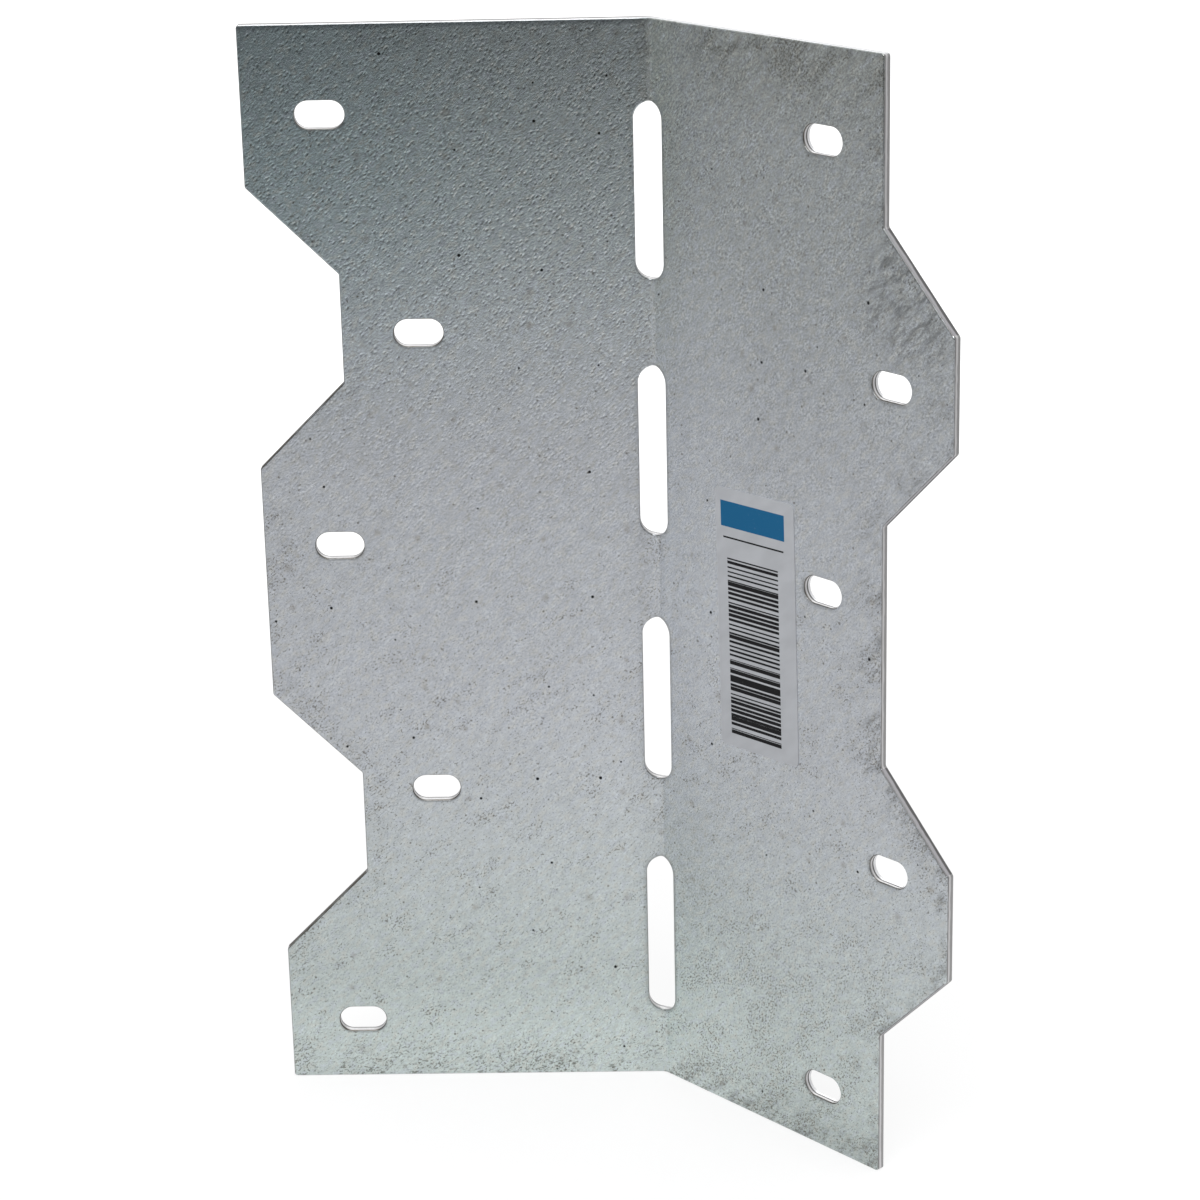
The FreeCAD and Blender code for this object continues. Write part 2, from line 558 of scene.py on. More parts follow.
@dataclass(frozen=True)
class Ground:
    """Ground colour of the zinc: clouds of cool grey, greener at the foot, with painted shade at the top.

    Colours are linear and sizes in millimetres. A warmer tint with painted shade runs beside the fold high
    on the right leg, and the brow is that leg's upper edge.
    """

    clean: Colour = (0.644, 0.671, 0.709, 1.0)
    dull: Colour = (0.618, 0.643, 0.678, 1.0)
    low: Colour = (0.618, 0.690, 0.674, 1.0)
    high: Colour = (0.622, 0.702, 0.718, 1.0)
    shaded_top_outer: Colour = (0.504, 0.618, 0.646, 1.0)
    shaded_top_right: Colour = (0.552, 0.588, 0.596, 1.0)
    crease_tint_and_shade: Colour = (0.560, 0.600, 0.548, 1.0)
    brow: Colour = (0.480, 0.510, 0.490, 1.0)
    warm: Colour = (0.667, 0.660, 0.612, 1.0)
    cool: Colour = (0.626, 0.668, 0.750, 1.0)
    clouds: Cloud = Cloud((12.0, 7.0, 20.0), 3.0, 0.55)
    cloud_edge: Step = Step(0.35, 0.65)
    low_part: Step = Step(65.0, 5.0)
    high_part: Step = Step(95.0, 145.0)
    outer_part: Step = Step(5.0, 55.0)
    crease_width: Step = Step(9.0, 0.0)
    crease_height: Step = Step(100.0, 150.0)
    crease_weight: float = 0.7
    brow_height: Step = Step(146.0, 160.0)
    brow_width: Step = Step(2.0, 14.0)
    brow_weight: float = 0.7
    tints: Cloud = Cloud((1.7, 1.0, 1.0), 2.0, 0.6)
    warm_edge: Step = Step(0.50, 0.66)
    cool_edge: Step = Step(0.50, 0.34)
    tint_weight: float = 0.35

    def on_brow(self, at: Places) -> Socket:
        """1 on the brow and 0 elsewhere."""
        return at.bench.times(at.right, at.up(self.brow_height), at.out(self.brow_width))

    def colour(self, at: Places) -> Socket:
        """Colours the zinc.

        Args:
            at: Where a point lies.

        Returns:
            The colour.
        """
        bench = at.bench
        cloud = bench.ramp(at.cloud(self.clouds), *self.cloud_edge)
        colour = bench.paint(cloud, self.dull, self.clean)
        colour = bench.paint(at.up(self.low_part), colour, self.low)
        # Painted shade at the top: darker towards the left leg's outer edge and on the right leg
        high = bench.paint(at.out(self.outer_part), self.high, self.shaded_top_outer)
        high = bench.paint(at.right, high, self.shaded_top_right)
        colour = bench.paint(at.up(self.high_part), colour, high)
        # A warmer tint with painted shade beside the fold, high on the right leg
        crease_tint_and_shade = bench.times(at.right, at.out(self.crease_width), at.up(self.crease_height))
        colour = bench.paint(bench.times(crease_tint_and_shade, self.crease_weight), colour, self.crease_tint_and_shade)
        colour = bench.paint(bench.times(self.on_brow(at), self.brow_weight), colour, self.brow)
        tint = at.cloud(self.tints)
        for edge, hue in ((self.warm_edge, self.warm), (self.cool_edge, self.cool)):
            colour = bench.paint(bench.times(bench.ramp(tint, *edge), self.tint_weight), colour, hue)
        return colour


@dataclass(frozen=True)
class GrainAndPaintedRelief:
    """Light and dark of the zinc: a fine grain and dents, strongest high up, on a broader mottle. The grain
    is partly painted light and shade of the peel, and the dents are painted light and shade.

    Sizes are in millimetres. A dent has painted light on one side and painted shade on the other, along the
    dent shift.
    """

    high_part: Step = Step(60.0, 150.0)
    patches: Cloud = Cloud((5.0, 3.0, 5.0), 2.0, 0.6)
    fine: Cloud = Cloud((0.50, 0.30, 0.5), 2.0, 0.8)
    low_swing: float = 0.7
    high_swing: Legs = Legs(1.5, 1.9)
    patch_swing: Step = Step(0.30, 0.70, 0.6, 1.4)
    dent_size: Triple = (1.10, 0.62, 1.0)
    dent_shift: Triple = (0.10, 0.32, 0.0)
    dents: Spots = Spots(1.0, 0.46, 0.9)
    dent_share: Step = Step(0.38, 0.62, 0.30, 0.90)
    dent_weight: Legs = Legs(0.58, 0.14)
    mottle: Cloud = Cloud((2.2, 1.3, 2.0), 3.0, 0.65)
    mottle_swing: Pair = (0.4, 0.6)     # low down and high up

    def shade(self, at: Places) -> Socket:
        """Shades the zinc.

        Args:
            at: Where a point lies.

        Returns:
            What the colour is multiplied by, about 1.
        """
        bench = at.bench
        high = at.up(self.high_part)
        patches = at.cloud(self.patches)
        # Fine grain, partly painted light and shade of the peel, swinging most high up
        swing = bench.between(high, self.low_swing, at.leg(self.high_swing))
        swing = bench.times(swing, bench.ramp(patches, *self.patch_swing))
        fine = bench.times(bench.less(at.cloud(self.fine), MEAN_NOISE), swing)

        # Dents: painted light on one side and painted shade on the other
        place = bench.stretched(at.flat, SLANT, self.dent_size)
        shifted = bench.vector("ADD", place, self.dent_shift)
        share = bench.ramp(patches, *self.dent_share)
        light, dark = (bench.dots(spot, share, self.dents) for spot in (place, shifted))
        dents = bench.times(bench.less(light, dark), high, at.leg(self.dent_weight))

        mottle = bench.less(at.cloud(self.mottle), MEAN_NOISE)
        mottle = bench.times(mottle, bench.between(high, *self.mottle_swing))
        return bench.total(fine, dents, mottle, 1.0)


@dataclass(frozen=True)
class PaintedBroadLight:
    """Painted light and shade: lighter beside the fold on the right leg and at the foot of the left leg.

    Sizes are in millimetres. Painted shade darkens the right leg's lower corner, and painted shade on the
    left leg and painted light on the right soften the change at the fold.
    """

    fold_width: Step = Step(26.0, 6.0)
    fold_top: Step = Step(145.0, 120.0)
    fold_middle: Step = Step(42.0, 80.0)
    fold_foot: Step = Step(34.0, 12.0)
    fold_weight: float = 0.13
    left_foot: Step = Step(18.0, 3.0, 0.0, 0.20)
    corner_width: Step = Step(15.0, 35.0)
    corner_foot: Step = Step(10.0, 2.0, 0.0, 0.12)
    soft_width: Step = Step(6.0, 0.0)
    soft_height: Step = Step(130.0, 100.0)
    soft_weight: Legs = Legs(-0.10, 0.08)

    def lift(self, at: Places) -> Socket:
        """Paints light and shade onto the zinc.

        Args:
            at: Where a point lies.

        Returns:
            What is added to the shade, about 0.
        """
        bench = at.bench
        # Painted light beside the right leg's fold and at the left foot, painted shade in the right lower
        # corner
        middle = bench.times(at.up(self.fold_top), at.up(self.fold_middle))
        heights = bench.most(middle, at.up(self.fold_foot))
        fold_highlight = bench.times(at.right, at.out(self.fold_width), heights, self.fold_weight)
        foot = bench.times(at.left, at.up(self.left_foot))
        corner = bench.times(at.right, at.out(self.corner_width), at.up(self.corner_foot))
        # Painted shade on the left of the fold and painted light on the right
        soft = bench.times(at.out(self.soft_width), at.up(self.soft_height), at.leg(self.soft_weight))
        return bench.total(bench.less(bench.total(fold_highlight, foot), corner), soft)


@dataclass(frozen=True)
class PaintedPunchShade:
    """Painted shade where the punch drew the sheet in: round the slots and on the lower side of the nail
    holes.

    Sizes are in millimetres.
    """

    sheet: FoldedSheet
    slot_band: Step = Step(0.85, 0.15)
    slot_weight: Legs = Legs(0.14, 0.34)
    low_slot: Step = Step(48.0, 30.0, 0.0, 0.14)
    hole_band: Legs = Legs(0.50, 0.80)
    hole_rim: float = 0.05
    hole_weight: Legs = Legs(0.80, 0.45)
    lower_side: Step = Step(0.0, -1.6)
    right_lean: float = 0.6

    def round_slots(self, at: Places) -> Socket:
        """Paints shade on the rims of the slots.

        Args:
            at: Where a point lies.

        Returns:
            How much the zinc is shaded, from 0.
        """
        bench, sheet = at.bench, self.sheet
        straight = (sheet.slot_length - sheet.slot_width) / 2
        along = bench.math("PINGPONG", bench.less(at.height, sheet.lowest_slot), sheet.slot_pitch / 2)
        past_straight = bench.most(bench.less(along, straight), 0.0)
        beside = bench.less(at.fold, sheet.slot_middle)
        off = bench.less(bench.hypot(past_straight, beside), sheet.slot_width / 2)
        weight = bench.total(at.leg(self.slot_weight), at.up(self.low_slot))
        return bench.times(bench.ramp(off, *self.slot_band), weight)

    def below_holes(self, at: Places) -> Socket:
        """Paints shade on the lower rims of the nail holes, which lie on far and near lands in turn.

        Args:
            at: Where a point lies.

        Returns:
            How much the zinc is shaded, from 0.
        """
        bench, sheet = at.bench, self.sheet
        straight = (sheet.hole_length - sheet.hole_width) / 2
        far = sheet.wide_reach - sheet.hole_to_edge
        near = sheet.set_back_reach - sheet.hole_to_edge
        lands = (at.leg(Legs(far, near)), at.leg(Legs(near, far)))
        band = at.leg(self.hole_band)
        weight = at.leg(self.hole_weight)
        shades = []
        for index, height in enumerate(sheet.hole_heights):
            beside = bench.less(at.fold, lands[index % len(lands)])
            above = bench.less(at.height, height)
            past_straight = bench.most(bench.less(bench.math("ABSOLUTE", beside), straight), 0.0)
            off = bench.less(bench.hypot(past_straight, above), sheet.hole_width / 2)
            lean = bench.total(above, bench.times(beside, at.right, self.right_lean))
            lower = bench.ramp(lean, *self.lower_side)
            shades.append(bench.times(bench.ramp(off, band, self.hole_rim), lower, weight))
        return bench.most(*shades)


@dataclass(frozen=True)
class Soil:
    """Specks, stains, scuffs and smudges on the zinc, with a dark mottle along its foot.

    Colours are linear and sizes in millimetres. The bare part is the lower one, which has more specks.
    The colour of smudges also paints shade round the holes and slots.
    """

    speck: Colour = (0.135, 0.121, 0.097, 1.0)
    stain: Colour = (0.330, 0.300, 0.255, 1.0)
    foot: Colour = (0.200, 0.215, 0.185, 1.0)
    smudge_and_shade: Colour = (0.210, 0.220, 0.225, 1.0)

    # Where specks crowd: in streaks, at worn places and in dirt
    bare: Step = Step(125.0, 60.0, 0.2, 1.0)
    patches: Cloud = Cloud((9.0, 5.0, 9.0), 2.0, 0.6)
    streaks: Cloud = Cloud((6.0, 3.2, 6.0), 3.0, 0.7, turn=30.0)
    streak_edge: Step = Step(0.50, 0.70)
    streak_weight: float = 0.92
    worn_rim: Step = Step(8.0, 0.5)
    worn_foot: Step = Step(12.0, 0.5)
    worn_fold: Step = Step(4.0, 0.0)
    worn_patches: Step = Step(0.42, 0.60)
    worn_weight: float = 0.7
    dirty_foot: Step = Step(48.0, 20.0)
    dirty_patches: Step = Step(0.42, 0.58)
    dirty_weight: float = 0.75

    # Stains, and scuffs on the rim, on one rubbed place and along the top
    stains: Spots = Spots(6.0, 0.16, 1.0)
    stain_share: float = 0.35
    stain_weight: float = 0.40
    scuffs: Cloud = Cloud((3.2, 1.1, 3.0), 5.0, 0.7)
    scuff_edge: Step = Step(0.42, 0.68)
    rim_patches: Step = Step(0.40, 0.58)
    rim_weight: Legs = Legs(0.15, 0.62)
    rubbed_place: Triple = (49.0, 130.0, 0.0)
    rubbed_reach: Step = Step(12.0, 4.0, 0.0, 0.86)
    top_height: Step = Step(146.0, 158.0, 0.0, 0.30)
    top_width: Step = Step(8.0, 16.0)

    # Mottle along the foot
    foot_mottle: Cloud = Cloud((0.9, 0.5, 1.0), 3.0, 0.7, turn=15.0)
    foot_edge: Step = Step(0.54, 0.62)
    foot_height: Step = Step(8.5, 1.0)
    foot_patches: Step = Step(0.35, 0.60, 0.3, 1.0)
    foot_weight: float = 0.78

    # Fine specks, cut out of noise, and strong ones
    fine: Cloud = Cloud((0.40, 0.28, 0.5), 3.0, 0.7)
    fine_starts: Pair = (0.69, 0.598)       # high up and in the bare part
    fine_crowded: float = 0.51              # where they crowd
    fine_width: float = 0.045
    fine_weight: float = 0.72
    strong: Spots = Spots(1.40, 0.18, 0.7)
    strong_shares: Pair = (0.05, 0.30)      # where they are sparse and where they crowd
    strong_weight: float = 0.75

    def crowding(self, at: Places, patches: Socket, brow: Socket) -> Socket:
        """Finds where specks crowd: in streaks, where the sheet is worn, and in the right leg's dirt.

        Args:
            at: Where a point lies.
            patches: Broad noise.
            brow: 1 on the brow and 0 elsewhere.

        Returns:
            0 where specks are sparse, up to 1 where they crowd.
        """
        bench = at.bench
        streaks = bench.ramp(at.cloud(self.streaks), *self.streak_edge)
        streaks = bench.times(streaks, at.up(self.bare), self.streak_weight)
        worn = bench.most(bench.ramp(at.rim, *self.worn_rim), at.up(self.worn_foot), at.out(self.worn_fold))
        worn = bench.times(worn, bench.ramp(patches, *self.worn_patches), self.worn_weight)
        dirty = bench.times(at.right, at.up(self.dirty_foot), self.dirty_weight)
        dirty = bench.times(bench.most(dirty, brow), bench.ramp(patches, *self.dirty_patches))
        return bench.most(streaks, worn, dirty)

    def scuffed(self, at: Places, patches: Socket) -> Socket:
        """Scuffs the rim, the brow and one rubbed place.

        Args:
            at: Where a point lies.
            patches: Broad noise.

        Returns:
            How much the zinc is smudged, from 0.
        """
        bench = at.bench
        rim = bench.times(bench.ramp(at.rim, *self.worn_rim), bench.ramp(patches, *self.rim_patches))
        rim = bench.times(rim, at.leg(self.rim_weight))
        rubbed = bench.ramp(bench.measure("DISTANCE", at.flat, self.rubbed_place), *self.rubbed_reach)
        top = bench.times(at.right, at.up(self.top_height), at.out(self.top_width))
        scuffs = bench.ramp(at.cloud(self.scuffs), *self.scuff_edge)
        return bench.times(scuffs, bench.most(rim, rubbed, top))

    def footed(self, at: Places, patches: Socket) -> Socket:
        """Mottles the foot.

        Args:
            at: Where a point lies.
            patches: Broad noise.

        Returns:
            How much the zinc is darkened, from 0.
        """
        bench = at.bench
        mottle = bench.ramp(at.cloud(self.foot_mottle), *self.foot_edge)
        mottle = bench.times(mottle, at.up(self.foot_height), self.foot_weight)
        return bench.times(mottle, bench.ramp(patches, *self.foot_patches))

    def specked(self, at: Places, crowd: Socket, colour: Socket) -> Socket:
        """Strews fine specks and fewer strong ones.

        Args:
            at: Where a point lies.
            crowd: Where the specks crowd.
            colour: The colour under them.

        Returns:
            The specked colour.
        """
        bench = at.bench
        start = bench.between(crowd, bench.between(at.up(self.bare), *self.fine_starts), self.fine_crowded)
        fine = bench.ramp(at.cloud(self.fine), start, bench.total(start, self.fine_width))
        colour = bench.paint(bench.times(fine, self.fine_weight), colour, self.speck)
        strong = bench.dots(at.flat, bench.between(crowd, *self.strong_shares), self.strong)
        return bench.paint(bench.times(strong, self.strong_weight), colour, self.speck)

    def over(self, at: Places, colour: Socket, brow: Socket, painted_punch_shade: Socket) -> Socket:
        """Soils the zinc and paints shade round the holes and slots.

        Args:
            at: Where a point lies.
            colour: The colour of clean zinc.
            brow: 1 on the brow and 0 elsewhere.
            painted_punch_shade: Painted shade of the holes and slots.

        Returns:
            The soiled colour.
        """
        bench = at.bench
        patches = at.cloud(self.patches)
        stains = bench.dots(at.flat, self.stain_share, self.stains)
        colour = bench.paint(bench.times(stains, self.stain_weight), colour, self.stain)
        colour = bench.paint(self.scuffed(at, patches), colour, self.smudge_and_shade)
        # Painted shade round the holes and slots, in the colour of smudges
        colour = bench.paint(painted_punch_shade, colour, self.smudge_and_shade)
        colour = bench.paint(self.footed(at, patches), colour, self.foot)
        return self.specked(at, self.crowding(at, patches, brow), colour)


class EdgeParts(NamedTuple):
    """Parts of the sheet's cut edges, each 1 there and 0 elsewhere.

    Attributes:
        outline: Along the blank's outline.
        walls: In the holes and slots.
        sides: Along the two side edges.
        ends: Along the upper and the lower end.
        right_lands: Along the lands of the right side edge.
        mouths: In the holes, and less in the slots.
        sheared: Wherever the sheet is cut through.
    """

    outline: Socket
    walls: Socket
    sides: Socket
    ends: Socket
    right_lands: Socket
    mouths: Socket
    sheared: Socket


@dataclass(frozen=True)
class CutEdge:
    """Sheared edges: a line of painted shade at the front, then a burnished band, then torn metal.
    Painted shade lies on the left leg's slopes and in the hole mouths, and painted highlights lie on
    the walls, the right leg's lands and the ends.

    Colours are linear, and sizes in millimetres unless they are shares of the sheet's thickness.
    """

    sheet: FoldedSheet
    # Painted shade over the die roll at the front of the cut
    shaded_roll: Colour = (0.290, 0.285, 0.290, 1.0)
    burnished: Colour = (0.530, 0.520, 0.545, 1.0)
    # Painted shade on the left leg's slopes and in the hole mouths
    dark: Colour = (0.140, 0.126, 0.106, 1.0)
    # Burnish lightened by a painted highlight, on the walls and the right leg's lands
    bright: Colour = (0.740, 0.735, 0.740, 1.0)
    # Painted highlight along the ends
    end_highlight: Colour = (0.800, 0.805, 0.820, 1.0)
    torn: Colour = (0.190, 0.186, 0.186, 1.0)
    # Painted highlight deep in the right leg's walls
    pale: Colour = (0.950, 0.955, 0.970, 1.0)
    cracked: Colour = (0.130, 0.128, 0.130, 1.0)
    # Painted shade beside the left leg's upper end
    brim_shade: Colour = (0.200, 0.235, 0.260, 1.0)

    # Where an edge counts as outline or mouth, and at which depth the cut begins and ends
    outline: Step = Step(2.5, 1.5)
    mouth_off_fold: Step = Step(6.0, 8.0, 0.6, 1.0)
    mouth_shade: Legs = Legs(1.0, 0.75)
    wall_start: float = 0.08
    edge_start: float = 0.003
    land_start: float = 0.12
    start_width: float = 0.04
    back_margins: Pair = (0.003, 0.03)      # before the back face

    # Front line of painted shade and burnished band, which begins and is full at two depths
    ragged: Cloud = Cloud((2.4, 2.4, 60.0), 2.0, turn=0.0)
    line_breaks: Step = Step(0.38, 0.60, 0.6, 1.0)
    band: Pair = (0.16, 0.26)
    left_end_band: Pair = (0.0, 0.02)
    right_land_band: Pair = (0.32, 0.42)

    # Torn metal behind the band
    tear_shares: Pair = (0.54, 0.35)        # on the sides and on the ends
    tear_swing: Step = Step(0.3, 0.7, -0.06, 0.06)
    tear_width: float = 0.12
    right_end_tear: float = 0.2
    right_land_tear: float = 0.58

    # Deep part of the right leg's walls, painted pale as a highlight, which begins and is full at two
    # depths, and the crack in all walls
    deep_shares: Pair = (0.58, 0.68)
    crack_shares: Legs = Legs(0.70, 0.42)
    crack_width: float = 0.07
    crack_weight: Legs = Legs(0.7, 1.0)

    # Painted shade beside the left leg's upper end
    brim_width: Step = Step(1.0, 0.4)
    brim_weight: float = 0.55

    def parts(self, at: Places) -> EdgeParts:
        """Tells the parts of the edges apart.

        Args:
            at: Where a point lies.

        Returns:
            The parts.
        """
        bench = at.bench
        outline = bench.ramp(at.rim, *self.outline)
        walls = bench.rest(outline)
        sides = bench.times(outline, at.side)
        right_lands = bench.times(sides, at.right, bench.rest(at.slope))
        mouths = bench.times(walls, at.out(self.mouth_off_fold))
        start = bench.between(bench.most(outline, mouths), self.wall_start, self.edge_start)
        start = bench.between(right_lands, start, self.land_start)
        front = bench.ramp(at.depth, start, bench.total(start, self.start_width))
        back = bench.ramp(at.depth, *(self.sheet.thickness - margin for margin in self.back_margins))
        sheared = bench.times(front, back)
        return EdgeParts(outline, walls, sides, bench.less(outline, sides), right_lands, mouths, sheared)

    def banded(self, at: Places, parts: EdgeParts) -> Socket:
        """Finds the burnished band.

        Args:
            at: Where a point lies.
            parts: The parts of the edges.

        Returns:
            1 from the band on and 0 before it.
        """
        bench = at.bench
        left_ends = bench.times(parts.ends, at.left)
        start, full = (
            bench.between(parts.right_lands, bench.between(left_ends, common, on_end), on_land)
            for common, on_end, on_land in zip(self.band, self.left_end_band, self.right_land_band)
        )
        return bench.times(parts.sheared, bench.ramp(at.depth, start, full))

    def tearing(self, at: Places, parts: EdgeParts, ragged: Socket) -> Socket:
        """Finds the torn metal behind the band, along the outline.

        Args:
            at: Where a point lies.
            parts: The parts of the edges.
            ragged: Noise along the edges.

        Returns:
            How much the metal is torn, from 0 to 1.
        """
        bench = at.bench
        start = bench.times(bench.between(parts.ends, *self.tear_shares), self.sheet.thickness)
        start = bench.total(bench.ramp(ragged, *self.tear_swing), start)
        behind = bench.ramp(at.depth, start, bench.total(start, self.tear_width))
        on_ends = bench.between(bench.times(parts.ends, at.right), 1.0, self.right_end_tear)
        on_lands = bench.between(parts.right_lands, 1.0, self.right_land_tear)
        return bench.times(parts.sheared, behind, parts.outline, on_ends, on_lands)

    def deepening(self, at: Places, parts: EdgeParts) -> Socket:
        """Finds the deep part of the right leg's walls, which is painted pale as a highlight.

        Args:
            at: Where a point lies.
            parts: The parts of the edges.

        Returns:
            1 there and 0 elsewhere.
        """
        behind = at.bench.ramp(at.depth, *(share * self.sheet.thickness for share in self.deep_shares))
        return at.bench.times(parts.sheared, parts.walls, at.right, behind)

    def cracking(self, at: Places, parts: EdgeParts, deep: Socket) -> Socket:
        """Finds the crack in the walls, up to the deep part where there is one.

        Args:
            at: Where a point lies.
            parts: The parts of the edges.
            deep: 1 in the deep part of the walls and 0 elsewhere.

        Returns:
            How much the metal is cracked, from 0 to 1.
        """
        bench = at.bench
        start = bench.times(at.leg(self.crack_shares), self.sheet.thickness)
        behind = bench.ramp(at.depth, start, bench.total(start, self.crack_width))
        return bench.times(parts.sheared, parts.walls, behind, bench.rest(deep), at.leg(self.crack_weight))

    def over(self, at: Places, face: Socket) -> tuple[Socket, Socket]:
        """Colours the edges with painted shade and highlights, and paints shade beside the left leg's upper
        end.

        Args:
            at: Where a point lies.
            face: Colour of the zinc.

        Returns:
            The colour, and 1 where the sheet is cut and 0 where it is whole.
        """
        bench = at.bench
        parts = self.parts(at)
        ragged = at.cloud(self.ragged)
        deep = self.deepening(at, parts)
        # Painted shade on the left leg's slopes and in the mouths
        shaded_slopes = bench.times(parts.sides, at.left, at.slope)
        dark = bench.most(shaded_slopes, bench.times(parts.mouths, at.leg(self.mouth_shade)))
        lined = bench.most(parts.sides, parts.mouths)
        # Front line of painted shade over the die roll
        line = bench.times(parts.sheared, bench.ramp(ragged, *self.line_breaks), lined)
        # Burnish, with painted shade on the left slopes and mouths and painted highlights on walls, lands
        # and ends
        burnish_and_painted_light = bench.paint(dark, self.burnished, self.dark)
        burnish_and_painted_light = bench.paint(parts.right_lands, burnish_and_painted_light, self.bright)
        burnish_and_painted_light = bench.paint(parts.outline, self.bright, burnish_and_painted_light)
        burnish_and_painted_light = bench.paint(parts.ends, burnish_and_painted_light, self.end_highlight)

        # Painted shade beside the left leg's upper end
        brim_shade = bench.ramp(bench.less(self.sheet.length, at.height), *self.brim_width)
        colour = bench.paint(bench.times(brim_shade, at.left, self.brim_weight), face, self.brim_shade)
        colour = bench.paint(line, colour, bench.paint(dark, self.shaded_roll, self.dark))
        colour = bench.paint(self.banded(at, parts), colour, burnish_and_painted_light)
        colour = bench.paint(self.tearing(at, parts, ragged), colour, self.torn)
        # Painted highlight deep in the right leg's walls
        colour = bench.paint(deep, colour, self.pale)
        return bench.paint(self.cracking(at, parts, deep), colour, self.cracked), parts.sheared


@dataclass(frozen=True)
class ZincFinish:
    """Hot-dip zinc on steel sheet: a matt metal with a slanting orange peel, pinholes and sheared edges.

    Colours are linear and sizes in millimetres.
    """

    sheet: FoldedSheet
    ground: Ground = Ground()
    grain: GrainAndPaintedRelief = GrainAndPaintedRelief()
    painted_light: PaintedBroadLight = PaintedBroadLight()
    soil: Soil = Soil()
    pinhole: Colour = (0.006, 0.006, 0.007, 1.0)
    pinholes: Spots = Spots(10.0, 0.030, 0.4)
    pinhole_share: Legs = Legs(0.50, 0.28)
    pinhole_depth: float = 0.3      # as a share of the peel's height
    peel: Cloud = Cloud((0.42, 0.26, 0.5), 2.0, 0.6)
    peel_height: float = 0.020
    roughness: float = 0.27
    cut_roughness: float = 0.50

    def face(self, at: Places) -> Socket:
        """Colours the whole sheet, apart from its pinholes and edges, painted light and shade included.

        Args:
            at: Where a point lies.

        Returns:
            The colour.
        """
        bench = at.bench
        # Grain, partly painted light and shade of the relief, plus painted broad light and shade
        shade = bench.total(self.grain.shade(at), self.painted_light.lift(at))
        colour = bench.paint(1.0, self.ground.colour(at), bench.grey(shade), Blend.SHADE)
        punch = PaintedPunchShade(self.sheet)
        # Painted shade round the slots and below the nail holes
        painted_punch_shade = bench.most(punch.round_slots(at), punch.below_holes(at))
        return self.soil.over(at, colour, self.ground.on_brow(at), painted_punch_shade)

    def material(self) -> bpy.types.Material:
        """Builds the finish.

        Returns:
            The material.
        """
        material, bench = new_material("galvanised_zinc")
        at = Places.read(bench, self.sheet)
        pinholes = bench.dots(at.flat, at.leg(self.pinhole_share), self.pinholes)
        colour = bench.paint(pinholes, self.face(at), self.pinhole)
        colour, sheared = CutEdge(self.sheet).over(at, colour)
        relief = bench.less(at.cloud(self.peel), bench.times(pinholes, self.pinhole_depth))
        feeds = {"Strength": 1.0, "Distance": self.peel_height * MM, "Height": relief}
        bump = bench.add("ShaderNodeBump", feeds)
        feeds = {
            "Base Color": colour,
            "Metallic": 1.0,
            "Roughness": bench.between(sheared, self.roughness, self.cut_roughness),
            "Normal": bump.outputs[0],
        }
        metal = bench.add("ShaderNodeBsdfPrincipled", feeds)
        bench.add("ShaderNodeOutputMaterial", {"Surface": metal.outputs[0]})
        return material


